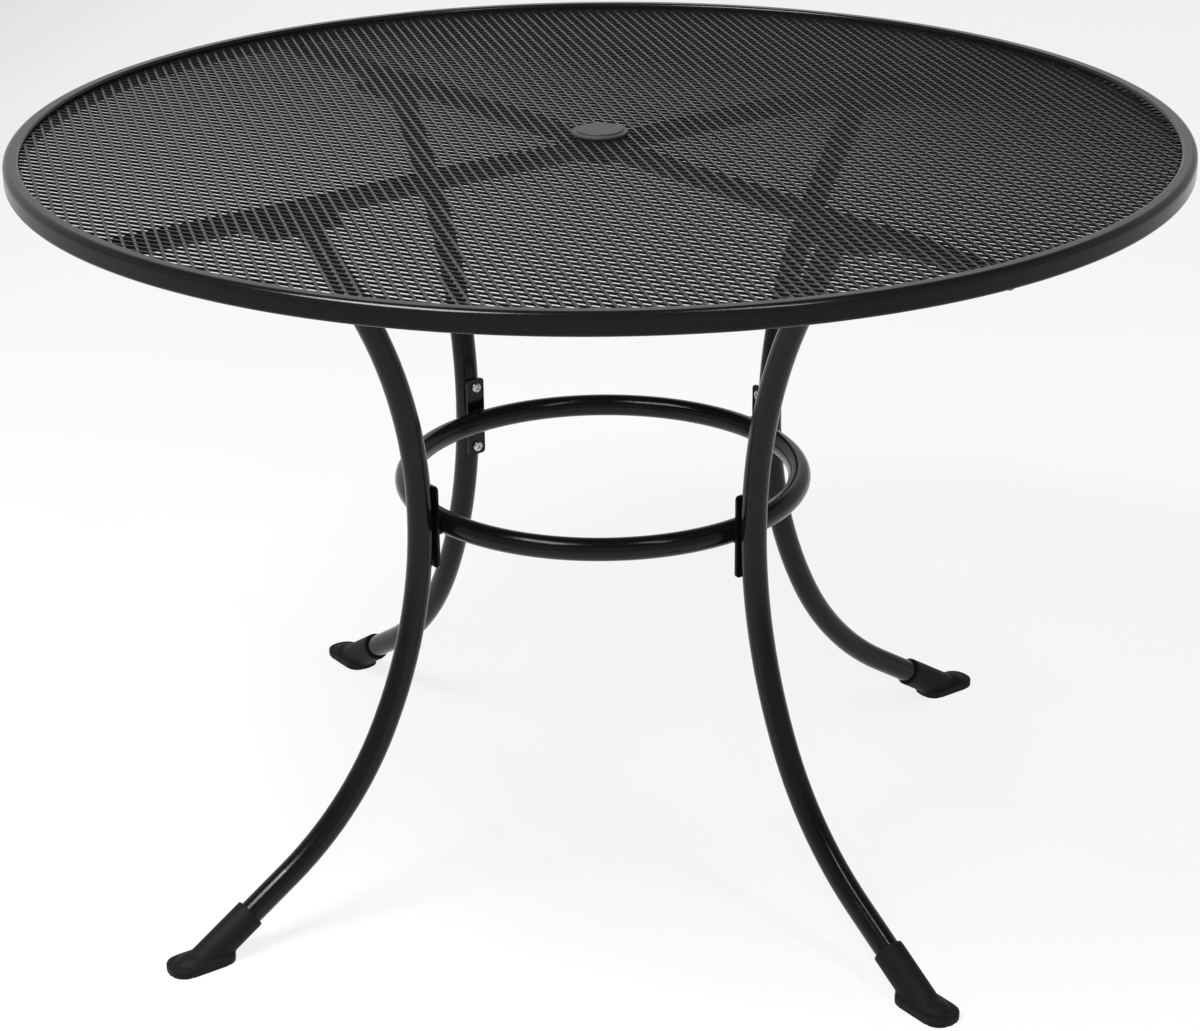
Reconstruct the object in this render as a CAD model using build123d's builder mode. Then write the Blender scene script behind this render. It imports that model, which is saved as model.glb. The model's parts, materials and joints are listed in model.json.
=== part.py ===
# Round garden table with an expanded-steel top on four bowed tube legs.
# The origin is on the floor under the middle of the top, +Z is up and -Y is the front.
from build123d import *
from math import cos, hypot, radians, sin, tan
import os

os.makedirs("parts", exist_ok=True)

# The top
table_r = 550
table_h = 725
rim_w = 15
rim_h = 20
rim_wall = 1.6
rim_outer_corner = 6
rim_corner = 3
mesh_drop = 5
mesh_t = 2.5
mesh_border = 8
# The net's diamonds: long way, short way and strand width, each of five real diamonds in one
net_long = 112
net_short = 54.5
net_strand = 7

# Spokes, umbrella collar and plug
spoke_r = 9.5
spoke_wall = 1.5
collar_r = 26
collar_h = 20.2
pole_r = 20
plug_flange_r = 26.7
plug_flange_t = 2.4
plug_disc_r = 22
plug_rise = 4
plug_round = 0.8
plug_wall = 2
spigot_r = 21.6
spigot_l = 12

# Legs: a tube that leans in to the elbow, out to the knee and flatter to the foot.
# Each leg stands turned a little about its upright head, all four the same way.
leg_r = 12
leg_wall = 1.5
leg_top_r = 328
leg_turn = -2.2
elbow_r = 161
elbow_z = 0.563 * table_h
foot_r = 448
foot_z = 21.2
foot_angle = 32
foot_run_l = 166.5
bow_share = 0.723
kick_share = 0.262

# Plates at the head of the legs
plate_l = 80
plate_w = 50
plate_t = 4
plate_corner = 6
plate_inset = 26
bolt_r = 3
bolt_head_r = 5.5
bolt_head_h = 4
bolt_pitch = 18
bolt_edge = 12
bolt_reach = 4

# Brace ring and its brackets
ring_tube_r = 11
ring_wall = 1.5
ring_z = 0.5214 * table_h
bracket_h = 82
bracket_w = 21
bracket_t = 2.5
bracket_corner = 4
lug_l = 2.5
lug_w = 14
lug_h = 16
screw_pitch = 64
screw_r = 2.5
screw_head_r = 5.25
screw_head_h = 3.4
screw_reach = 9

# Shoes
sole_l = 66
sole_w = 36
sole_t = 8.5
sole_heel = 22.3
toe_corner = 15.5
heel_corner = 13.5
sole_round = 2
sleeve_r = 15
sleeve_l = 29

# Clearances: welded and seated faces, holes round their bolts, the plug in its hole, legs in shoes
seat = 0.2
hole_play = 0.3
plug_play = 0.6
shoe_play = 0.25

# Heights and radii that follow from the sizes above
rim_in_r = table_r - rim_w
mesh_z = table_h - mesh_drop
spoke_z = mesh_z - mesh_t - seat - spoke_r
collar_top = mesh_z - mesh_t - seat
socket_r = spigot_r + plug_play
plate_top = spoke_z - spoke_r - seat
leg_top_z = plate_top - plate_t - seat
plate_r = leg_top_r - plate_inset + plate_l / 2
bolt_radii = [plate_r + plate_l / 2 - bolt_edge - i * bolt_pitch for i in range(2)]

# The leg's centre line, in the upright plane through the leg: (radius, height)
foot_run = Vector(1, 0).rotate(Axis.Z, -foot_angle)
head = Vector(leg_top_r, leg_top_z)
elbow = Vector(elbow_r, elbow_z)
foot = Vector(foot_r, foot_z)
knee = foot - foot_run * foot_run_l
run_in = (elbow - head).normalized()
run_out = (knee - elbow).normalized()
shin_l = (knee - elbow).length
bow_half = radians(run_in.get_angle(run_out) / 2)
kick_half = radians(run_out.get_angle(foot_run) / 2)
bow_r = bow_share * shin_l / tan(bow_half)
kick_r = kick_share * shin_l / tan(kick_half)
bow_centre = elbow + (run_out - run_in).normalized() * (bow_r / cos(bow_half))
waist_r = bow_centre.X - bow_r
over_top = head - run_in * 2 * leg_r

# Planes turned with the leg: upright along it, and level on the floor under it
out = Vector(cos(radians(leg_turn)), sin(radians(leg_turn)))
head_foot = Vector(leg_top_r, 0)
leg_side = Plane(origin=head_foot, x_dir=out, z_dir=(out.Y, -out.X, 0))
leg_floor = Plane(origin=head_foot, x_dir=out, z_dir=(0, 0, 1))

# The bracket stands against the leg's waist and the ring lies against the bracket's lug
waist = head_foot + out * (waist_r - leg_top_r)
waist_dir = waist.normalized()
bracket_r = waist.length - leg_r - seat - bracket_t
bracket_plane = Plane(origin=waist_dir * bracket_r, x_dir=(-waist_dir.Y, waist_dir.X, 0), z_dir=waist_dir)
ring_r = bracket_r - lug_l - seat - ring_tube_r
screw_heights = [ring_z - screw_pitch / 2, ring_z + screw_pitch / 2]

# The sole lies under the place where the leg's line would meet its top
sole_r = foot_r + (foot_z - sole_t) / tan(radians(foot_angle))
mouth = foot - foot_run * sleeve_l
mouth_at = leg_side.from_local_coords((mouth.X - leg_top_r, mouth.Y))
sleeve_plane = Plane(origin=mouth_at, z_dir=out * foot_run.X + Vector(0, 0, foot_run.Y))

places = {"back_right": 45, "back_left": 135, "front_left": 225, "front_right": 315}


def export_at_legs(piece, name):
    """Write one copy of a piece for each leg, turned about the table's axis."""
    for place, turn in places.items():
        turned = piece.rotate(Axis.Z, turn)
        turned.label = f"{name}_{place}"
        export_step(turned, f"parts/{name}_{place}.step")


# Rim: a hollow section rolled into a ring
with BuildPart() as top_rim:
    with BuildSketch(Plane.XZ) as rim_section:
        with Locations((table_r - rim_w / 2, table_h - rim_h / 2)):
            Rectangle(rim_w, rim_h)
        corners = rim_section.vertices().sort_by(lambda v: v.X + v.Z)
        fillet(corners[-1], rim_outer_corner)
        fillet(corners[:-1], rim_corner)
        offset(amount=-rim_wall, mode=Mode.SUBTRACT)
    revolve(axis=Axis.Z)
top_rim.part.label = "top_rim"
export_step(top_rim.part, "parts/top_rim.step")

# Mesh: a sheet with staggered diamond gaps, short way along the back-right spoke
mesh_plane = Plane(origin=(0, 0, mesh_z - mesh_t), x_dir=(-1, 1, 0), z_dir=(0, 0, 1))
net_r = rim_in_r - mesh_border
strand_share = net_strand * hypot(net_long, net_short) / (net_long * net_short)
gap_x = net_long / 2 * (1 - strand_share)
gap_y = net_short / 2 * (1 - strand_share)
rows = int(2 * net_r / net_short) + 1
cells = []
for row in range(-rows, rows + 1):
    for column in range(-rows, rows + 1):
        x = (column + row % 2 / 2) * net_long
        y = row * net_short / 2
        if 2 * collar_r < hypot(x, y) < net_r - net_short / 4:
            cells.append((x, y))

with BuildPart() as mesh_top:
    with BuildSketch(mesh_plane) as net_gaps:
        with Locations(*cells):
            Polygon((gap_x, 0), (0, gap_y), (-gap_x, 0), (0, -gap_y))
        Circle(net_r, mode=Mode.INTERSECT)
    with BuildSketch(mesh_plane) as net:
        Circle(rim_in_r - seat)
        Circle(socket_r, mode=Mode.SUBTRACT)
        add(net_gaps.sketch_local, mode=Mode.SUBTRACT)
    extrude(net.sketch, amount=mesh_t)
mesh_top.part.label = "mesh_top"
export_step(mesh_top.part, "parts/mesh_top.step")

# Collar: a short tube, bored for the pole below and wider above for the plug's spigot
with BuildPart() as umbrella_collar:
    with BuildSketch(Plane.XY.offset(collar_top - collar_h)):
        Circle(collar_r)
        Circle(pole_r, mode=Mode.SUBTRACT)
    extrude(amount=collar_h)
    with BuildSketch(Plane.XY.offset(collar_top)):
        Circle(socket_r)
    extrude(amount=-collar_h / 2, mode=Mode.SUBTRACT)
umbrella_collar.part.label = "umbrella_collar"
export_step(umbrella_collar.part, "parts/umbrella_collar.step")

# Plug: a flanged cap with a raised disc and a hollow spigot
with BuildPart() as umbrella_plug:
    with BuildSketch(Plane.XY.offset(mesh_z + seat)):
        Circle(plug_flange_r)
    extrude(amount=plug_flange_t)
    fillet(umbrella_plug.faces().sort_by(Axis.Z)[-1].edges(), plug_round)
    with BuildSketch(Plane.XY.offset(mesh_z + seat)):
        Circle(plug_disc_r)
    extrude(amount=plug_rise)
    fillet(umbrella_plug.faces().sort_by(Axis.Z)[-1].edges(), plug_round)
    with BuildSketch(Plane.XY.offset(mesh_z + seat)):
        Circle(spigot_r)
        Circle(spigot_r - plug_wall, mode=Mode.SUBTRACT)
    extrude(amount=-spigot_l)
umbrella_plug.part.label = "umbrella_plug"
export_step(umbrella_plug.part, "parts/umbrella_plug.step")

# Spoke: a tube saddled on the collar and against the rim, with tapped holes for the leg bolts
with BuildPart() as spoke:
    with BuildSketch(Plane.YZ):
        with Locations((0, spoke_z)):
            Circle(spoke_r)
            Circle(spoke_r - spoke_wall, mode=Mode.SUBTRACT)
    extrude(amount=table_r)
    with BuildSketch(Plane.XY.offset(spoke_z - 2 * spoke_r)):
        Circle(rim_in_r - seat)
        Circle(collar_r + seat, mode=Mode.SUBTRACT)
    extrude(amount=4 * spoke_r, mode=Mode.INTERSECT)
    with BuildSketch(Plane.XY.offset(plate_top)):
        with Locations(*[(r, 0) for r in bolt_radii]):
            Circle(bolt_r + hole_play)
    extrude(amount=spoke_r, mode=Mode.SUBTRACT)
export_at_legs(spoke.part, "spoke")

# Leg plate: lies under the spoke at the head of the leg
with BuildPart() as leg_plate:
    with BuildSketch(Plane.XY.offset(plate_top)):
        with Locations((plate_r, 0)):
            RectangleRounded(plate_l, plate_w, plate_corner)
        with Locations(*[(r, 0) for r in bolt_radii]):
            Circle(bolt_r + hole_play, mode=Mode.SUBTRACT)
    extrude(amount=-plate_t)
export_at_legs(leg_plate.part, "leg_plate")

# Leg bolts: two through each plate, up into the spoke
with BuildPart() as leg_bolt:
    with BuildSketch(Plane.XY.offset(plate_top - plate_t)):
        with Locations(*[(r, 0) for r in bolt_radii]):
            RegularPolygon(bolt_head_r, 6)
    extrude(amount=-bolt_head_h)
    with BuildSketch(Plane.XY.offset(plate_top - plate_t)):
        with Locations(*[(r, 0) for r in bolt_radii]):
            Circle(bolt_r)
    extrude(amount=plate_t + seat + spoke_wall + bolt_reach)
with BuildPart() as leg_bolts:
    for turn in places.values():
        add(leg_bolt.part.rotate(Axis.Z, turn))
leg_bolts.part.label = "leg_bolts"
export_step(leg_bolts.part, "parts/leg_bolts.step")

# Leg: a bent tube, cut level at the head, with two holes for the bracket screws
with BuildPart() as leg:
    with BuildLine(leg_side) as leg_line:
        leg_points = [(p.X - leg_top_r, p.Y) for p in (over_top, elbow, knee, foot)]
        FilletPolyline(*leg_points, radius=[bow_r, kick_r])
    with BuildSketch(Plane(origin=leg_line.line @ 0, z_dir=leg_line.line % 0)):
        Circle(leg_r)
        Circle(leg_r - leg_wall, mode=Mode.SUBTRACT)
    sweep()
    split(bisect_by=Plane.XY.offset(leg_top_z), keep=Keep.BOTTOM)
    with BuildSketch(bracket_plane):
        with Locations(*[(0, z) for z in screw_heights]):
            Circle(screw_r + hole_play)
    extrude(amount=bracket_t + leg_r, mode=Mode.SUBTRACT)
export_at_legs(leg.part, "leg")

# Brace ring: a tube ring inside the legs
with BuildPart() as brace_ring:
    with BuildSketch(Plane.XZ):
        with Locations((ring_r, ring_z)):
            Circle(ring_tube_r)
            Circle(ring_tube_r - ring_wall, mode=Mode.SUBTRACT)
    revolve(axis=Axis.Z)
brace_ring.part.label = "brace_ring"
export_step(brace_ring.part, "parts/brace_ring.step")

# Ring bracket: an upright plate on the leg with a lug hollowed to the ring
with BuildPart() as ring_bracket:
    with BuildSketch(bracket_plane):
        with Locations((0, ring_z)):
            RectangleRounded(bracket_w, bracket_h, bracket_corner)
        with Locations(*[(0, z) for z in screw_heights]):
            Circle(screw_r + hole_play, mode=Mode.SUBTRACT)
    extrude(amount=bracket_t)
    with BuildSketch(bracket_plane):
        with Locations((0, ring_z)):
            Rectangle(lug_w, lug_h)
    extrude(amount=-(lug_l + ring_tube_r))
    with BuildSketch(Plane.XZ):
        with Locations((ring_r, ring_z)):
            Circle(ring_tube_r + seat)
    revolve(axis=Axis.Z, mode=Mode.SUBTRACT)
export_at_legs(ring_bracket.part, "ring_bracket")

# Bracket screws: pan heads towards the table's axis, shanks through the plate into the leg
with BuildPart() as bracket_screw:
    with BuildSketch(bracket_plane):
        with Locations(*[(0, z) for z in screw_heights]):
            Circle(screw_head_r)
    extrude(amount=-screw_head_h)
    head_faces = bracket_screw.faces().filter_by(bracket_plane).sort_by(Axis.X)[:2]
    fillet(head_faces.edges(), screw_head_h / 2)
    with BuildSketch(bracket_plane):
        with Locations(*[(0, z) for z in screw_heights]):
            Circle(screw_r)
    extrude(amount=screw_reach)
with BuildPart() as bracket_screws:
    for turn in places.values():
        add(bracket_screw.part.rotate(Axis.Z, turn))
bracket_screws.part.label = "bracket_screws"
export_step(bracket_screws.part, "parts/bracket_screws.step")

# Shoe: a flat sole with a round toe and a slanted sleeve that takes the leg's end
with BuildPart() as shoe:
    with BuildSketch(leg_floor) as sole:
        with Locations((sole_r - sole_heel + sole_l / 2 - leg_top_r, 0)):
            Rectangle(sole_l, sole_w)
        fillet(sole.vertices().sort_by(Axis.X)[-2:], toe_corner)
        fillet(sole.vertices().sort_by(Axis.X)[:2], heel_corner)
    extrude(amount=sole_t)
    fillet(shoe.faces().sort_by(Axis.Z)[-1].edges(), sole_round)
    with BuildSketch(sleeve_plane):
        Circle(sleeve_r)
    extrude(amount=sleeve_l + 2 * foot_z)
    split(bisect_by=Plane.XY, keep=Keep.TOP)
    with BuildSketch(sleeve_plane):
        Circle(leg_r + shoe_play)
    extrude(amount=sleeve_l + seat, mode=Mode.SUBTRACT)
export_at_legs(shoe.part, "shoe")
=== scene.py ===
# %% [markdown]
# # A black garden table
#
# The table is a steel rim round a sheet of expanded metal, on four bowed tube legs that a brace
# ring ties together. The solid model is loaded first as a fixed frame. This lesson then adds what
# solids can't show well: the fine net, the rolled rings, the moulded shoes, the screws and the
# finishes.

import json
import math

import bpy
import numpy as np
from mathutils import Matrix, Vector


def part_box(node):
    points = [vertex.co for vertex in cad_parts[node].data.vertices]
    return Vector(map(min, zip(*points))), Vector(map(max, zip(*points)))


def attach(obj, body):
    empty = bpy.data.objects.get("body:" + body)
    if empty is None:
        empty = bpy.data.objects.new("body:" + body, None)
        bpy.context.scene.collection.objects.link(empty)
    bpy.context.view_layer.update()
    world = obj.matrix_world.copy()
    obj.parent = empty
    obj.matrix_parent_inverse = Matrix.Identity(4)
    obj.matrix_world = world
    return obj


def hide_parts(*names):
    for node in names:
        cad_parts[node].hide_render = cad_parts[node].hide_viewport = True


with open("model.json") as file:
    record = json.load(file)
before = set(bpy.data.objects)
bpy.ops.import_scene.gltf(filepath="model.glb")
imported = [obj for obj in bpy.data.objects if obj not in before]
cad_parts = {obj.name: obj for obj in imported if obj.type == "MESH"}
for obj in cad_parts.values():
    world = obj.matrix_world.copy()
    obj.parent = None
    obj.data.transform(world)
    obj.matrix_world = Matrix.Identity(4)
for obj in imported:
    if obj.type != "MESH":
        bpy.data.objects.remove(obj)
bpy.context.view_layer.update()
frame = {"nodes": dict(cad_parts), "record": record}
nodes = frame["nodes"]

# %% [markdown]
# ## The camera
#
# The picture was taken with a long lens, from above the top and a few degrees to the right of the
# front. A long lens keeps the far rim nearly as wide as the near one, so both the lens and the
# distance matter. The camera is placed by its distance, height and tilt.

# %% Camera
IMAGE_WIDTH = 1200
FOCAL_PIXELS = 2887.2
SENSOR_WIDTH = 36
FAR_CLIP = 100
CAMERA_TURN = math.radians(6.96)
CAMERA_DISTANCE = 2.6361
CAMERA_HEIGHT = 1.4172
CAMERA_PITCH = math.radians(22.366)
CAMERA_YAW = math.radians(0.068)
CAMERA_ROLL = math.radians(-0.53)

bpy.ops.object.select_all(action="DESELECT")
bpy.ops.object.camera_add()
camera = bpy.context.object
camera.name = "camera"
camera.data.sensor_width = SENSOR_WIDTH
camera.data.lens = FOCAL_PIXELS / IMAGE_WIDTH * SENSOR_WIDTH
camera.data.clip_end = FAR_CLIP
turn = Matrix.Rotation(CAMERA_TURN + CAMERA_YAW, 4, "Z")
tilt = Matrix.Rotation(math.pi / 2 - CAMERA_PITCH, 4, "X")
roll = Matrix.Rotation(CAMERA_ROLL, 4, "Z")
eye = Vector((
    CAMERA_DISTANCE * math.sin(CAMERA_TURN),
    -CAMERA_DISTANCE * math.cos(CAMERA_TURN),
    CAMERA_HEIGHT,
))
camera.matrix_world = Matrix.Translation(eye) @ turn @ tilt @ roll
bpy.context.scene.camera = camera
bpy.context.scene.view_settings.view_transform = "Standard"
print("lens:", round(camera.data.lens, 1), "mm")

# %% [markdown]
# ## Shader sums in plain Python
#
# A finish is a small sum: a base value plus a little noise. Adding a Math node by hand for every
# plus sign hides the idea, so one class wraps a socket and lets Python's own operators add the
# nodes. Every other node comes from its one method, `node`, which takes sockets by name. A few
# nodes give the same name to several sockets, and those go by number, as in `i0`.


# %% Wire: a socket that can be added and multiplied
class Wire:
    """One output socket of a node tree, with arithmetic."""

    def __init__(self, tree, socket=None):
        self.tree = tree
        self.socket = socket

    def node(self, kind, settings=None, output=0, **values):
        made = self.tree.nodes.new(kind)
        for name, setting in (settings or {}).items():
            setattr(made, name, setting)
        for name, value in values.items():
            key = int(name[1:]) if name[0] == "i" and name[1:].isdigit() else name.replace("_", " ")
            if isinstance(value, Wire):
                self.tree.links.new(value.socket, made.inputs[key])
            else:
                made.inputs[key].default_value = value
        return Wire(self.tree, made.outputs[output])

    def math(self, operation, first, second):
        return self.node("ShaderNodeMath", {"operation": operation}, i0=first, i1=second)

    def __add__(self, other):
        return self.math("ADD", self, other)

    def __radd__(self, other):
        return self.math("ADD", other, self)

    def __sub__(self, other):
        return self.math("SUBTRACT", self, other)

    def __rsub__(self, other):
        return self.math("SUBTRACT", other, self)

    def __mul__(self, other):
        return self.math("MULTIPLY", self, other)

    def __rmul__(self, other):
        return self.math("MULTIPLY", other, self)


def new_finish(name):
    """An empty material and the start of its sums."""
    material = bpy.data.materials.new(name)
    material.use_nodes = True
    material.node_tree.nodes.clear()
    return material, Wire(material.node_tree)


def close_finish(wire, shader):
    """Link the finished shader to the material's output."""
    output = wire.tree.nodes.new("ShaderNodeOutputMaterial")
    wire.tree.links.new(shader.socket, output.inputs["Surface"])


def tone_between(wire, share, tone, spread):
    """A colour that drifts a little darker and lighter than its tone."""
    dark = tuple(channel * (1 - spread) for channel in tone) + (1.0,)
    light = tuple(channel * (1 + spread) for channel in tone) + (1.0,)
    return wire.node("ShaderNodeMix", {"data_type": "RGBA"}, output=2, i0=share, i6=dark, i7=light)


# %% [markdown]
# ## Powder coat
#
# The steel is powder coated: the powder melts into a smooth skin with a faint orange-peel ripple.
# It is near black, and its highlights are narrow but soft at the edges.

# %% Powder coat
PEEL_SCALE, PEEL_DEPTH = 700.0, 0.0002
CLOUD_SCALE = 9.0
TONE_DRIFT = 0.15
CLOUD_SHEEN, PEEL_SHEEN = 0.06, 0.05


def powder_coat(name, tone, roughness, gloss, peel):
    material, wire = new_finish(name)
    place = wire.node("ShaderNodeTexCoord", output="Object")
    ripple = wire.node("ShaderNodeTexNoise", Vector=place, Scale=PEEL_SCALE, Detail=2.0)
    cloud = wire.node("ShaderNodeTexNoise", Vector=place, Scale=CLOUD_SCALE, Detail=3.0)
    shader = wire.node(
        "ShaderNodeBsdfPrincipled",
        Base_Color=tone_between(wire, cloud, tone, TONE_DRIFT),
        Roughness=roughness + CLOUD_SHEEN * (cloud - 0.5) + PEEL_SHEEN * (ripple - 0.5),
        IOR=gloss,
        Normal=wire.node("ShaderNodeBump", Strength=peel, Distance=PEEL_DEPTH, Height=ripple),
    )
    close_finish(wire, shader)
    return material


FRAME_BLACK = (0.005, 0.0048, 0.0045)
NET_BLACK = (0.0055, 0.0051, 0.0047)
frame_coat = powder_coat("black_powder_coat", FRAME_BLACK, roughness=0.18, gloss=1.295, peel=0.03)
net_coat = powder_coat("net_powder_coat", NET_BLACK, roughness=0.28, gloss=1.3, peel=0.06)
print("coats:", frame_coat.name, net_coat.name)

# %% [markdown]
# ## Plastic and zinc
#
# The shoes are moulded plastic with a fine spark-eroded grain, so they scatter light and look soft
# beside the paint. The plug is smoother. The screws are bright zinc.

# %% Plastic and zinc
PIT_SCALE, PIT_DEPTH = 1600.0, 0.0003
FLOW_SCALE, FLOW_SHEEN = 30.0, 0.1
STREAK_SCALE, STREAK_DRIFT, STREAK_SHEEN = 400.0, 0.25, 0.2
SHOE_BLACK = (0.0055, 0.0056, 0.006)
PLUG_GREY = (0.042, 0.041, 0.039)
ZINC_TONE, ZINC_POLISH = (0.6, 0.59, 0.56), 0.2


def moulded_plastic(name, tone, roughness, gloss, grain):
    material, wire = new_finish(name)
    place = wire.node("ShaderNodeTexCoord", output="Object")
    pits = wire.node("ShaderNodeTexNoise", Vector=place, Scale=PIT_SCALE, Detail=3.0)
    cloud = wire.node("ShaderNodeTexNoise", Vector=place, Scale=FLOW_SCALE, Detail=3.0)
    shader = wire.node(
        "ShaderNodeBsdfPrincipled",
        Base_Color=tone_between(wire, cloud, tone, TONE_DRIFT),
        Roughness=roughness + FLOW_SHEEN * (cloud - 0.5),
        IOR=gloss,
        Normal=wire.node("ShaderNodeBump", Strength=grain, Distance=PIT_DEPTH, Height=pits),
    )
    close_finish(wire, shader)
    return material


def zinc_plate(name):
    material, wire = new_finish(name)
    place = wire.node("ShaderNodeTexCoord", output="Object")
    streak = wire.node("ShaderNodeTexNoise", Vector=place, Scale=STREAK_SCALE, Detail=4.0)
    shader = wire.node(
        "ShaderNodeBsdfPrincipled",
        Base_Color=tone_between(wire, streak, ZINC_TONE, STREAK_DRIFT),
        Metallic=1.0,
        Roughness=ZINC_POLISH + STREAK_SHEEN * streak,
    )
    close_finish(wire, shader)
    return material


shoe_plastic = moulded_plastic("shoe_plastic", SHOE_BLACK, roughness=0.6, gloss=1.24, grain=0.35)
plug_plastic = moulded_plastic("plug_plastic", PLUG_GREY, roughness=0.5, gloss=1.34, grain=0.15)
zinc = zinc_plate("zinc_plate")

finish_of_slot = {
    "frame_paint": frame_coat,
    "mesh_paint": net_coat,
    "plug_plastic": plug_plastic,
    "shoe_plastic": shoe_plastic,
    "zinc_screw": zinc,
}
for part in frame["record"]["subparts"]:
    piece = nodes[part["node"]]
    piece.data.materials.clear()
    piece.data.materials.append(finish_of_slot[part["material_slot"]])
print("finishes:", sorted(finish_of_slot))


# %% [markdown]
# ## Small helpers for modelling by hand
#
# The same few moves come back for every piece: start with nothing selected, pick points by their
# place, apply a modifier, close the mesh, and hand the finished piece to the body that carries it.

# %% Helpers
NEAR = 0.0001
SAME_PLACE = 0.00001


def only(piece):
    """Select one piece alone and make it the active one."""
    bpy.ops.object.select_all(action="DESELECT")
    piece.select_set(True)
    bpy.context.view_layer.objects.active = piece


def add_shape(operator, name, **settings):
    """Add a primitive as the only selected object, with its place in its mesh."""
    bpy.ops.object.select_all(action="DESELECT")
    operator(**settings)
    piece = bpy.context.object
    piece.name = name
    bpy.ops.object.transform_apply(location=True, rotation=True, scale=True)
    return piece


def edit(piece, pick=None, mode="VERT"):
    """Go into edit mode with the points chosen by pick, or with all of them."""
    bpy.ops.object.mode_set(mode="EDIT")
    bpy.ops.mesh.select_mode(type=mode)
    bpy.ops.mesh.select_all(action="SELECT" if pick is None else "DESELECT")
    if pick is not None:
        bpy.ops.object.mode_set(mode="OBJECT")
        items = {
            "VERT": piece.data.vertices,
            "EDGE": piece.data.edges,
            "FACE": piece.data.polygons,
        }
        for item in items[mode]:
            item.select = bool(pick(item))
        bpy.ops.object.mode_set(mode="EDIT")


def apply_modifier(piece, name, kind, **settings):
    modifier = piece.modifiers.new(name, kind)
    for key, value in settings.items():
        setattr(modifier, key, value)
    bpy.ops.object.modifier_apply(modifier=name)


def close_mesh(end_corners=0):
    """In edit mode: merge points that share a place, close open ends and turn faces outwards."""
    bpy.ops.mesh.select_all(action="SELECT")
    bpy.ops.mesh.remove_doubles(threshold=SAME_PLACE)
    if end_corners:
        bpy.ops.mesh.fill_holes(sides=end_corners)
        bpy.ops.mesh.select_all(action="SELECT")
    bpy.ops.mesh.normals_make_consistent(inside=False)


def spin_round(steps):
    """In edit mode: spin the drawn section round the table's axis into a smooth closed ring."""
    bpy.ops.mesh.select_all(action="SELECT")
    bpy.ops.mesh.spin(steps=steps, angle=math.tau, center=(0, 0, 0), axis=(0, 0, 1))
    close_mesh()
    bpy.ops.object.mode_set(mode="OBJECT")
    bpy.ops.object.shade_smooth()


def give(piece, finish, slot, *replaced):
    """Paint a finished piece and let it ride on the table in place of its solids."""
    piece.data.materials.clear()
    piece.data.materials.append(finish)
    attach(piece, "table")
    if replaced:
        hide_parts(*replaced)


# %% [markdown]
# ## The rim
#
# The rim is a hollow section rolled into a ring: flat on top, with a wide round along its outer
# edge that catches a long thin highlight. Its section is drawn once as a rectangle, its corners are
# bevelled, and a spin turns it round the table's axis, so the round stays smooth all the way.

# %% Rim
RIM_WIDTH = 0.015
RIM_HEIGHT = 0.020
OUTER_ROUND, OUTER_STEPS = 0.006, 10
SMALL_ROUND, SMALL_STEPS = 0.003, 5
RIM_STEPS = 240
rim_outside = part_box("top_rim")[1].x
rim_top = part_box("top_rim")[1].z
rim_middle = (rim_outside - RIM_WIDTH / 2, 0, rim_top - RIM_HEIGHT / 2)

rim = add_shape(bpy.ops.mesh.primitive_plane_add, "rim_ring", size=1, rotation=(math.pi / 2, 0, 0))
edit(rim)
bpy.ops.transform.resize(value=(RIM_WIDTH, 1, RIM_HEIGHT))
bpy.ops.transform.translate(value=rim_middle)
bpy.ops.object.mode_set(mode="OBJECT")
edit(rim, lambda v: v.co.x > rim_middle[0] and v.co.z > rim_middle[2])
bpy.ops.mesh.bevel(offset=OUTER_ROUND, segments=OUTER_STEPS, affect="VERTICES")
bpy.ops.object.mode_set(mode="OBJECT")
corner_x = (rim_outside - RIM_WIDTH, rim_outside)
corner_z = (rim_top - RIM_HEIGHT, rim_top)


def at_corner(v):
    across = min(abs(v.co.x - x) for x in corner_x)
    upwards = min(abs(v.co.z - z) for z in corner_z)
    return across < NEAR and upwards < NEAR


edit(rim, at_corner)
bpy.ops.mesh.bevel(offset=SMALL_ROUND, segments=SMALL_STEPS, affect="VERTICES")
bpy.ops.mesh.select_all(action="SELECT")
bpy.ops.mesh.delete(type="ONLY_FACE")
spin_round(RIM_STEPS)
apply_modifier(rim, "even_shading", "WEIGHTED_NORMAL", keep_sharp=True)
give(rim, frame_coat, "frame_paint", "top_rim")
print("rim points:", len(rim.data.vertices))

# %% [markdown]
# ## The brace ring
#
# The brace ring is a round tube rolled into a ring. A circle is spun the same way as the rim's
# section. A torus would do, but the spin shows again how a lathe-like shape comes from its section.

# %% Brace ring
RING_SIDES, RING_STEPS = 32, 144
ring_low, ring_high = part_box("brace_ring")
ring_tube = (ring_high.z - ring_low.z) / 2
ring_place = (ring_high.x - ring_tube, 0, (ring_high.z + ring_low.z) / 2)
brace = add_shape(
    bpy.ops.mesh.primitive_circle_add,
    "brace_tube",
    vertices=RING_SIDES,
    radius=ring_tube,
    location=ring_place,
    rotation=(math.pi / 2, 0, 0),
)
edit(brace)
spin_round(RING_STEPS)
give(brace, frame_coat, "frame_paint", "brace_ring")
print("brace ring radius:", round(ring_place[0], 4), "height:", round(ring_place[2], 4))

# %% [markdown]
# ## Places along the legs
#
# Each leg stands under one end of a spoke, on the table's diagonals, and is turned two degrees
# about its upright head. A piece is modelled once on a leg that points along +X and is then carried
# to all four places by one matrix each.

# %% Leg places
LEG_HEAD = 0.328
LEG_TURN = math.radians(-2.2)
LEG_PLACES = {"back_right": 45, "back_left": 135, "front_left": 225, "front_right": 315}


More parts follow.
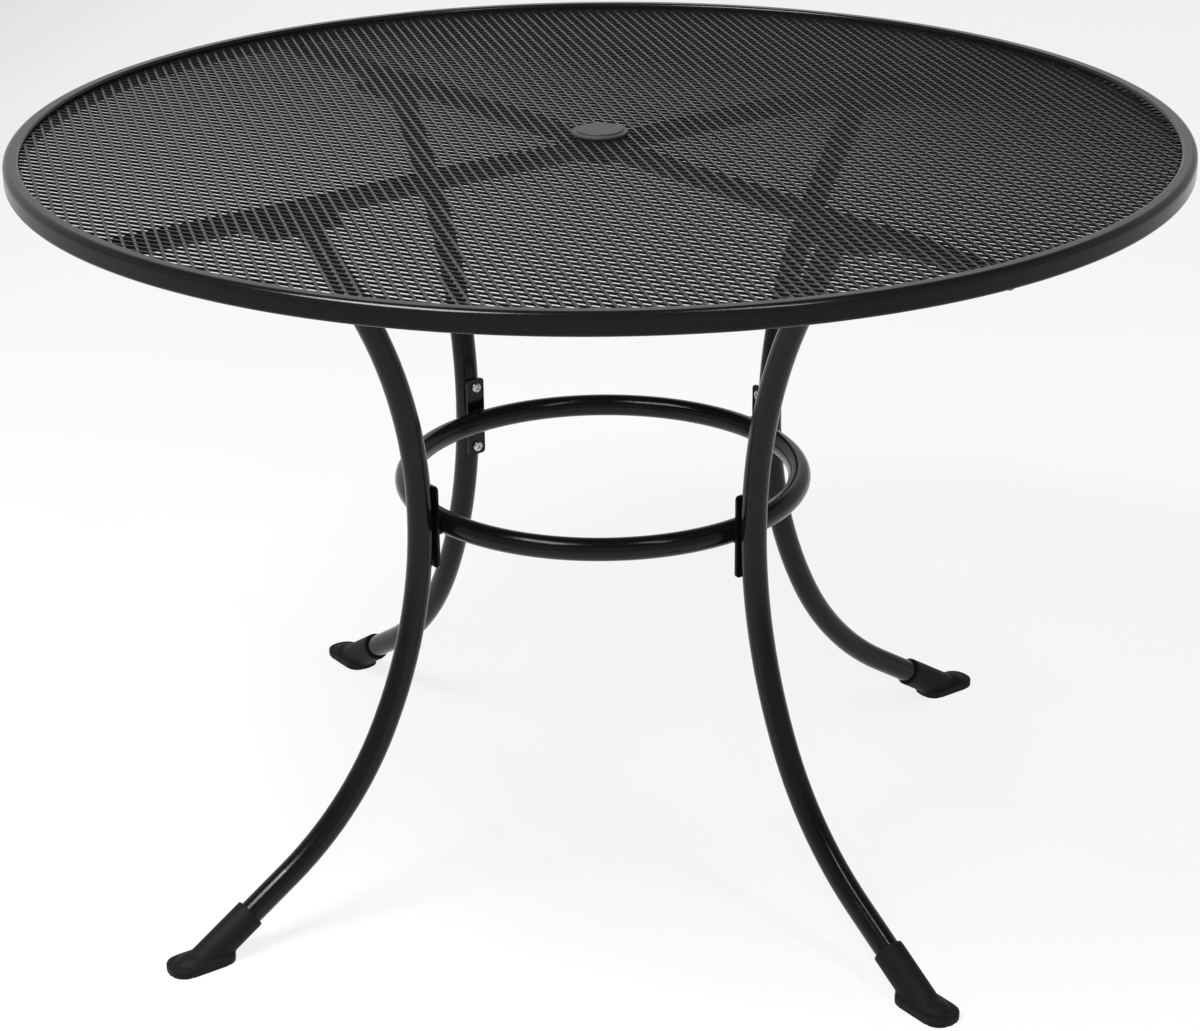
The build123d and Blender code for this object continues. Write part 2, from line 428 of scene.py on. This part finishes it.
def leg_matrix(place):
    """Turn about the leg's own head, then about the table's axis."""
    head = Matrix.Translation((LEG_HEAD, 0, 0))
    own_turn = head @ Matrix.Rotation(LEG_TURN, 4, "Z") @ head.inverted()
    return Matrix.Rotation(math.radians(LEG_PLACES[place]), 4, "Z") @ own_turn


def copy_to(piece, name, matrix):
    """A copy with its own mesh, carried by a matrix that ends up in the mesh."""
    only(piece)
    bpy.ops.object.duplicate(linked=False)
    made = bpy.context.object
    made.name = name
    made.matrix_world = matrix
    bpy.ops.object.transform_apply(location=True, rotation=True, scale=True)
    return made


def drop(piece):
    bpy.data.objects.remove(piece, do_unlink=True)


print("legs:", list(LEG_PLACES))

# %% [markdown]
# ## The shoes
#
# A shoe is one plastic moulding: a flat sole with round ends, a slanted sleeve for the leg, and a
# soft instep between them. The three rough shapes are joined, a voxel remesh melts them into one
# skin, and a smooth pass rounds the inner corners as a mould would. The bore is cut last, so that
# its lip stays crisp.

# %% Rough shapes of one shoe
SOLE_LENGTH, SOLE_WIDTH, SOLE_THICKNESS = 0.066, 0.036, 0.0085
SOLE_MIDDLE = 0.479
TOE_ROUND, HEEL_ROUND = 0.0155, 0.0135
FOOT_ANGLE = math.radians(32)
LEG_END = Vector((0.448, 0, 0.0212))
SLEEVE_RADIUS, SLEEVE_LENGTH, BORE_RADIUS = 0.0150, 0.029, 0.01225
SLEEVE_INTO_SOLE = 0.034
SLEEVE_SIDES = 64
INSTEP_PLACE, INSTEP_SIZE = (0.484, 0, 0.006), (0.0215, 0.0150, 0.0085)
FLOOR_CUT = 0.0005
UPRIGHT_RISE, END_REACH = 0.001, 0.02
ROUND_STEPS = 8
leg_run = Vector((math.cos(FOOT_ANGLE), 0, -math.sin(FOOT_ANGLE)))
mouth = LEG_END - leg_run * SLEEVE_LENGTH
sleeve_turn = (0, math.pi / 2 + FOOT_ANGLE, 0)


def upright(e, x_side):
    """Whether an edge of the sole stands upright at the toe, side 1, or at the heel, side -1."""
    a, b = (shoe.data.vertices[i].co for i in e.vertices)
    return abs(a.z - b.z) > UPRIGHT_RISE and (a.x - SOLE_MIDDLE) * x_side > END_REACH


def cut_at_floor(piece):
    """Take off what a rough shape has below the sole."""
    edit(piece)
    bpy.ops.mesh.bisect(
        plane_co=(0, 0, FLOOR_CUT), plane_no=(0, 0, -1), clear_outer=True, use_fill=True
    )
    bpy.ops.object.mode_set(mode="OBJECT")


shoe = add_shape(
    bpy.ops.mesh.primitive_cube_add,
    "shoe_form",
    size=1,
    location=(SOLE_MIDDLE, 0, SOLE_THICKNESS / 2),
    scale=(SOLE_LENGTH, SOLE_WIDTH, SOLE_THICKNESS),
)
edit(shoe, lambda e: upright(e, 1), "EDGE")
bpy.ops.mesh.bevel(offset=TOE_ROUND, segments=ROUND_STEPS)
bpy.ops.object.mode_set(mode="OBJECT")
edit(shoe, lambda e: upright(e, -1), "EDGE")
bpy.ops.mesh.bevel(offset=HEEL_ROUND, segments=ROUND_STEPS)
bpy.ops.object.mode_set(mode="OBJECT")

sleeve_long = SLEEVE_LENGTH + SLEEVE_INTO_SOLE
sleeve = add_shape(
    bpy.ops.mesh.primitive_cylinder_add,
    "sleeve",
    vertices=SLEEVE_SIDES,
    radius=SLEEVE_RADIUS,
    depth=sleeve_long,
    location=mouth + leg_run * sleeve_long / 2,
    rotation=sleeve_turn,
)
cut_at_floor(sleeve)
instep = add_shape(
    bpy.ops.mesh.primitive_uv_sphere_add,
    "instep",
    segments=32,
    ring_count=16,
    radius=1,
    location=INSTEP_PLACE,
    scale=INSTEP_SIZE,
)
cut_at_floor(instep)
print("rough shapes: sole, sleeve and instep")

# %% Melt them into one moulding
VOXEL = 0.0010
SMOOTH_PASSES = 9
BORE_LEAD = 0.010
SHARP_LIP = math.radians(40)
for form in (shoe, sleeve, instep):
    form.select_set(True)
bpy.context.view_layer.objects.active = shoe
bpy.ops.object.join()
apply_modifier(shoe, "melt", "REMESH", mode="VOXEL", voxel_size=VOXEL)
apply_modifier(shoe, "mould_rounds", "SMOOTH", factor=0.5, iterations=SMOOTH_PASSES)
bore = add_shape(
    bpy.ops.mesh.primitive_cylinder_add,
    "bore",
    vertices=SLEEVE_SIDES,
    radius=BORE_RADIUS,
    depth=SLEEVE_LENGTH + BORE_LEAD,
    location=mouth + leg_run * (SLEEVE_LENGTH - BORE_LEAD) / 2,
    rotation=sleeve_turn,
)
only(shoe)
apply_modifier(shoe, "bore", "BOOLEAN", operation="DIFFERENCE", object=bore, solver="EXACT")
drop(bore)
bpy.ops.object.shade_smooth_by_angle(angle=SHARP_LIP)
for place in LEG_PLACES:
    moulding = copy_to(shoe, "shoe_moulding_" + place, leg_matrix(place))
    give(moulding, shoe_plastic, "shoe_plastic", "shoe_" + place)
lowest = min(v.co.z for v in shoe.data.vertices)
print("shoe points:", len(shoe.data.vertices), "lowest:", round(lowest, 5))
drop(shoe)

# %% [markdown]
# ## Screws and weld beads
#
# Two zinc pan-head screws with a cross recess hold each ring bracket to its leg, and a short weld
# bead above and below each lug holds the ring. The head is a cylinder with a bevelled crown, and
# two crossed bars are cut out of it. No two screws were driven to the same turn, so each cross
# stands a little differently.

# %% One screw head
HEAD_RADIUS, HEAD_HEIGHT = 0.00525, 0.0034
CROWN_ROUND, CROWN_STEPS = 0.0019, 5
SHARP_SLOT = math.radians(35)
SLOT_LENGTH, SLOT_WIDTH, SLOT_DEPTH = 0.0062, 0.0014, 0.0019
screw = add_shape(
    bpy.ops.mesh.primitive_cylinder_add,
    "screw",
    vertices=36,
    radius=HEAD_RADIUS,
    depth=HEAD_HEIGHT,
    location=(0, 0, HEAD_HEIGHT / 2),
)


def on_crown(e):
    return all(screw.data.vertices[i].co.z > HEAD_HEIGHT - NEAR for i in e.vertices)


edit(screw, on_crown, "EDGE")
bpy.ops.mesh.bevel(offset=CROWN_ROUND, segments=CROWN_STEPS)
bpy.ops.object.mode_set(mode="OBJECT")
for quarter in (0, math.pi / 2):
    bar = add_shape(
        bpy.ops.mesh.primitive_cube_add,
        "bar",
        size=1,
        location=(0, 0, HEAD_HEIGHT),
        rotation=(0, 0, quarter),
        scale=(SLOT_LENGTH, SLOT_WIDTH, 2 * SLOT_DEPTH),
    )
    only(screw)
    apply_modifier(screw, "slot", "BOOLEAN", operation="DIFFERENCE", object=bar, solver="EXACT")
    drop(bar)
bpy.ops.object.shade_smooth_by_angle(angle=SHARP_SLOT)
print("screw points:", len(screw.data.vertices))

# %% Carry the screws to the brackets
BRACKET_RADIUS = 0.20634
WAIST_TURN = 1.0656
SCREW_HEIGHTS = {"lower": 0.346015, "upper": 0.410015}
FIRST_DRIVE, NEXT_DRIVE, DRIVE_BY_HEIGHT = 0.5, 0.9, 3
inwards = Matrix.Rotation(-math.pi / 2, 4, "Y")
for turn_index, (place, angle) in enumerate(LEG_PLACES.items()):
    around = Matrix.Rotation(math.radians(angle + WAIST_TURN), 4, "Z")
    for level, height in SCREW_HEIGHTS.items():
        drive = FIRST_DRIVE + NEXT_DRIVE * turn_index + DRIVE_BY_HEIGHT * height
        driven = Matrix.Rotation(drive, 4, "Z")
        spot = Matrix.Translation((BRACKET_RADIUS, 0, height))
        head = copy_to(screw, f"screw_{place}_{level}", around @ spot @ inwards @ driven)
        give(head, zinc, "zinc_screw", "bracket_screws")
drop(screw)
print("screws:", len(LEG_PLACES) * len(SCREW_HEIGHTS))

# %% Weld beads on the lugs
BEAD_SIZE = (0.0030, 0.0062, 0.0022)
BEAD_LUMPS, BEAD_SEED = 0.0003, 3
BEAD_OUT, BEAD_RISE = 0.80, 0.0082
bead = add_shape(
    bpy.ops.mesh.primitive_uv_sphere_add,
    "bead",
    segments=24,
    ring_count=12,
    radius=1,
    scale=BEAD_SIZE,
)
edit(bead)
bpy.ops.transform.vertex_random(offset=BEAD_LUMPS, seed=BEAD_SEED)
bpy.ops.object.mode_set(mode="OBJECT")
apply_modifier(bead, "settle", "SMOOTH", factor=0.5, iterations=2)
bpy.ops.object.shade_smooth()
bead_radius = ring_place[0] + ring_tube * BEAD_OUT
for place, angle in LEG_PLACES.items():
    around = Matrix.Rotation(math.radians(angle + WAIST_TURN), 4, "Z")
    for level, side in {"over": 1, "under": -1}.items():
        spot = Matrix.Translation((bead_radius, 0, ring_place[2] + side * BEAD_RISE))
        give(copy_to(bead, f"weld_{place}_{level}", around @ spot), frame_coat, "frame_paint")
drop(bead)
print("beads at", len(LEG_PLACES), "brackets")

# %% [markdown]
# ## The net
#
# Expanded metal is a sheet that is slit and pulled: each strip between two rows of slits becomes a
# zigzag ribbon, tilted out of the sheet, and neighbouring ribbons stay joined where they touch.
# One tooth of a ribbon is extruded from a small tilted rectangle, and three Array modifiers repeat
# it. Whole ribbons would overshoot the rim, so the ends that stick out are slid back to it. Then
# the teeth of a ribbon are merged, its ends are closed and its faces are turned outwards.

# %% One tooth of a ribbon
LONG_WAY = 0.0224
SHORT_WAY = 0.0109
RIBBON_WIDTH = 0.0022
RIBBON_THICKNESS = 0.0028
RIBBON_TILT = math.radians(82)
NET_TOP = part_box("mesh_top")[1].z
NET_CLEARANCE = 0.0004
NET_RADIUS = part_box("mesh_top")[1].x - NET_CLEARANCE
HOLE_RADIUS = 0.0224
SPARE_TEETH = 3
END_FACING = 0.99

bond_step = RIBBON_WIDTH * math.cos(RIBBON_TILT)
tooth_rise = SHORT_WAY / 2 - bond_step
columns = int(2 * NET_RADIUS / LONG_WAY) + SPARE_TEETH
rows = int(2 * NET_RADIUS / SHORT_WAY) + SPARE_TEETH
half_depth = (RIBBON_WIDTH * math.sin(RIBBON_TILT) + RIBBON_THICKNESS * math.cos(RIBBON_TILT)) / 2

net = add_shape(bpy.ops.mesh.primitive_plane_add, "mesh_net", size=1)
edit(net)
bpy.ops.transform.resize(value=(RIBBON_THICKNESS, RIBBON_WIDTH, 1))
bpy.ops.transform.rotate(value=math.pi / 2, orient_axis="Y", center_override=(0, 0, 0))
bpy.ops.transform.rotate(value=RIBBON_TILT, orient_axis="X", center_override=(0, 0, 0))
for rise in (tooth_rise, -tooth_rise):
    bpy.ops.mesh.extrude_region_move(TRANSFORM_OT_translate={"value": (LONG_WAY / 2, rise, 0)})
bpy.ops.mesh.select_all(action="SELECT")
shift = (-columns * LONG_WAY / 2, -rows * SHORT_WAY / 2 + bond_step / 2, NET_TOP - half_depth)
bpy.ops.transform.translate(value=shift)
bpy.ops.object.mode_set(mode="OBJECT")
edit(net, lambda face: abs(face.normal.x) > END_FACING, "FACE")
bpy.ops.mesh.delete(type="ONLY_FACE")
bpy.ops.object.mode_set(mode="OBJECT")
tooth_points = [v.co - Vector(shift) for v in net.data.vertices]
print("tooth in mm:", [tuple(round(c * 1000, 2) for c in point) for point in tooth_points])


# %% Rows of ribbons
def repeat(piece, count, step):
    apply_modifier(
        piece,
        "row",
        "ARRAY",
        count=count,
        use_relative_offset=False,
        use_constant_offset=True,
        constant_offset_displace=step,
    )


repeat(net, columns, (LONG_WAY, 0, 0))
repeat(net, 2, (LONG_WAY / 2, SHORT_WAY / 2, 0))
repeat(net, rows, (0, SHORT_WAY, 0))
print("net points before trimming:", len(net.data.vertices))

# %% Slide the ends back to the rim and to the hole
SECTIONS = 3
CORNERS = 4
NET_TURN = math.radians(136.8)
places = np.empty(len(net.data.vertices) * 3)
net.data.vertices.foreach_get("co", places)
places = places.reshape(-1, SECTIONS, CORNERS, 3)


def slide_ends(places, radius, keep_inside):
    """Slide each section past the circle along its ribbon to the circle; mark what is left over."""
    middle = places.mean(axis=2)[:, :, :2]
    side = 1 if keep_inside else -1
    past = side * (np.hypot(middle[..., 0], middle[..., 1]) - radius) > 0
    left_over = past.copy()
    for end in range(SECTIONS):
        for near_end in (end - 1, end + 1):
            if not 0 <= near_end < SECTIONS:
                continue
            slid = past[:, end] & ~past[:, near_end] & left_over[:, end]
            start = middle[slid, near_end]
            run = middle[slid, end] - start
            a = (run ** 2).sum(axis=1)
            b = (start * run).sum(axis=1)
            c = (start ** 2).sum(axis=1) - radius ** 2
            share = (-b + side * np.sqrt(np.maximum(b * b - a * c, 0))) / a
            step = (places[slid, near_end] - places[slid, end]) * (1 - share)[:, None, None]
            places[slid, end] += step
            left_over[slid, end] = False
    return left_over


extra = slide_ends(places, NET_RADIUS, True) | slide_ends(places, HOLE_RADIUS, False)
net.data.vertices.foreach_set("co", places.ravel())
extra = np.repeat(extra.ravel(), CORNERS)
edit(net, lambda v: extra[v.index])
bpy.ops.mesh.delete(type="VERT")
close_mesh(end_corners=CORNERS)
bpy.ops.transform.rotate(value=-NET_TURN, orient_axis="Z", center_override=(0, 0, 0))
bpy.ops.object.mode_set(mode="OBJECT")
give(net, net_coat, "mesh_paint", "mesh_top")
print("net points:", len(net.data.vertices), "faces:", len(net.data.polygons))

# %% [markdown]
# ## Floor and light
#
# The table stands on a white sheet in soft studio light. Black paint shows what it mirrors, so the
# room matters more than the lamps: a bright wall behind the table, brightest just left of the
# middle, greys the flat top of the rim and the tops of the strands. For the same reason the sheet
# carries painted shade: its colour and glow turn slowly to pale grey towards the front and the
# sides, and the upright faces mirror that painted shade. A soft box hangs over the left side, a
# weak fill stands at the front, and a strip at the right draws the narrow line along the tubes.

# %% Floor
FLOOR_SIZE = 40
GLOW_SHARE = 0.8
BLACK, PAPER_WHITE = (0.0, 0.0, 0.0, 1.0), (0.88, 0.88, 0.88, 1.0)
PURE_WHITE = (1.0, 1.0, 1.0, 1.0)


def fade(wire, value, between, levels):
    """A soft change from one level to the other while a value goes between two bounds."""
    return wire.node(
        "ShaderNodeMapRange",
        {"interpolation_type": "SMOOTHSTEP"},
        Value=value,
        From_Min=between[0],
        From_Max=between[1],
        To_Min=levels[0],
        To_Max=levels[1],
    )


floor_finish, wire = new_finish("white_floor")
camera_ray = wire.node("ShaderNodeLightPath", output="Is Camera Ray")
glossy_ray = wire.node("ShaderNodeLightPath", output="Is Glossy Ray")
through_ray = wire.node("ShaderNodeLightPath", output="Is Transmission Ray")
looked_at = wire.math("MINIMUM", camera_ray + glossy_ray + through_ray, 1.0)
spot = wire.node("ShaderNodeTexCoord", output="Object")
spot_x = wire.node("ShaderNodeSeparateXYZ", output="X", Vector=spot)
spot_y = wire.node("ShaderNodeSeparateXYZ", output="Y", Vector=spot)
aside = wire.math("ABSOLUTE", spot_x, 0.0)
# Painted shade: the sheet's colour and glow are darkened towards the front and the sides.
front = fade(wire, spot_y, between=(-2.6, -0.5), levels=(0.65, 1.0))
side = fade(wire, aside, between=(1.0, 2.6), levels=(1.0, 0.75))
painted_shade = front * side
tone = wire.node(
    "ShaderNodeMix", {"data_type": "RGBA"}, output=2, i0=painted_shade, i6=BLACK, i7=PAPER_WHITE
)
paper = wire.node("ShaderNodeBsdfDiffuse", Color=tone)
glow = wire.node("ShaderNodeEmission", Color=PURE_WHITE, Strength=painted_shade)
close_finish(wire, wire.node("ShaderNodeMixShader", i0=looked_at * GLOW_SHARE, i1=paper, i2=glow))
floor = add_shape(bpy.ops.mesh.primitive_plane_add, "floor", size=FLOOR_SIZE)
floor.data.materials.append(floor_finish)
print("floor:", floor.name, floor_finish.name)

# %% Room
CEILING, SIDES, BACK_WALL = 0.08, 0.4, 0.85
WARM_WHITE = (1.0, 0.985, 0.96, 1.0)
world = bpy.data.worlds.new("pale_room")
world.use_nodes = True
world.node_tree.nodes.clear()
bpy.context.scene.world = world
air = Wire(world.node_tree)
direction = air.node("ShaderNodeTexCoord", output="Generated")
room_x = air.node("ShaderNodeSeparateXYZ", output="X", Vector=direction)
room_y = air.node("ShaderNodeSeparateXYZ", output="Y", Vector=direction)
room_z = air.node("ShaderNodeSeparateXYZ", output="Z", Vector=direction)
behind = fade(air, room_y, between=(0.0, 0.7), levels=(0.0, 1.0))
low = fade(air, room_z, between=(0.4, 0.75), levels=(1.0, 0.0))
left = fade(air, room_x, between=(-0.1, 0.3), levels=(1.0, 0.5))
far_left = fade(air, room_x, between=(-0.4, -0.1), levels=(0.75, 1.0))
wall = CEILING + low * (SIDES + behind * (BACK_WALL * (left * far_left) - SIDES))
sky = air.node("ShaderNodeBackground", Color=WARM_WHITE, Strength=wall)
room_output = world.node_tree.nodes.new("ShaderNodeOutputWorld")
world.node_tree.links.new(sky.socket, room_output.inputs["Surface"])
print("room:", world.name)


# %% Lamps
def soft_box(name, place, aim, size, power):
    bpy.ops.object.select_all(action="DESELECT")
    bpy.ops.object.light_add(type="AREA", location=place)
    lamp = bpy.context.object
    lamp.name = name
    lamp.data.shape = "RECTANGLE"
    lamp.data.size, lamp.data.size_y = size
    lamp.data.energy = power
    lamp.rotation_euler = (Vector(aim) - Vector(place)).to_track_quat("-Z", "Y").to_euler()
    return lamp


box = soft_box("overhead", place=(-1.0, -1.0, 2.9), aim=(0, -0.1, 0.6), size=(1.3, 0.8), power=110)
fill = soft_box("front_fill", place=(0.5, -4.2, 2.5), aim=(0, 0.8, 0), size=(1.2, 0.8), power=60)
fill.visible_glossy = False
strip = soft_box(
    "right_strip", place=(1.1, -1.0, 2.9), aim=(0.2, -0.2, 0.3), size=(0.2, 1.2), power=20
)
print("lamps:", {lamp.name: lamp.data.energy for lamp in (box, fill, strip)})
